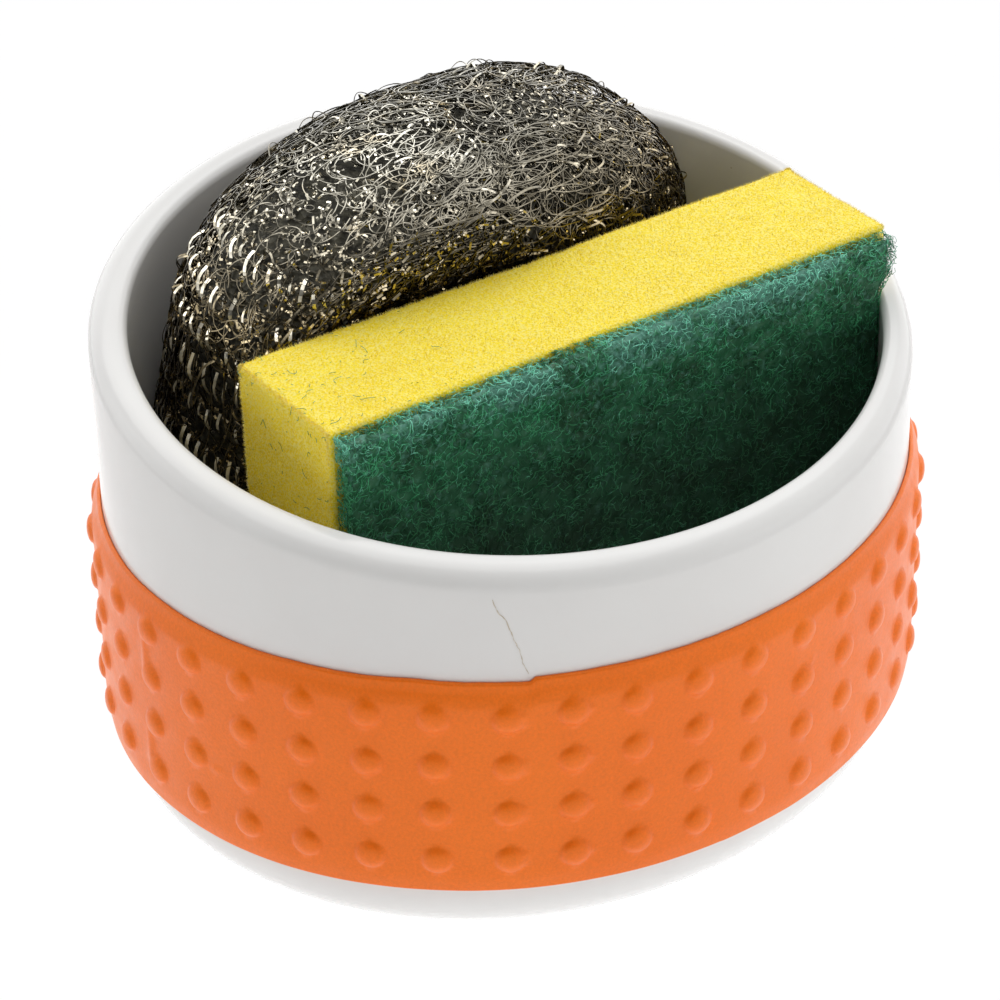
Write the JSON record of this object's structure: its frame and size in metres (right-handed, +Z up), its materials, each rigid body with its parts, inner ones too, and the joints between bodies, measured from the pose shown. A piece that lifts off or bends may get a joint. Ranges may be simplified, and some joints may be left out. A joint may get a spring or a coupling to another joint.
{
  "type": "sink caddy",
  "caption": "Oval ceramic bowl with a slanted rim and a studded silicone sleeve, holding a scrub sponge and a knitted steel scourer that both lift out.",
  "frame": {"origin": "on the table, under the middle of the bowl", "axes": "+Z up, +X along the bowl's long axis, -Y towards the low side of the rim"},
  "size_m": [0.1372, 0.125, 0.1051],
  "materials": {
    "glazed_ceramic": "gloss",
    "orange_silicone": "matte",
    "yellow_foam": "matte",
    "green_abrasive": "matte",
    "steel_knit": "polished"
  },
  "bodies": {
    "bowl": {"ceramic_bowl": "glazed_ceramic", "silicone_band": "orange_silicone"},
    "sponge": {"sponge_foam": "yellow_foam", "scouring_pad": "green_abrasive"},
    "scourer": {"steel_scourer": "steel_knit"}
  },
  "joints": [
    {"name": "sponge_lift", "type": "slide", "parent": "bowl", "child": "sponge", "axis": [0, 0, 1], "range_m": [0, 0.1]},
    {"name": "scourer_lift", "type": "slide", "parent": "bowl", "child": "scourer", "axis": [0, 0, 1], "range_m": [0, 0.1]}
  ]
}
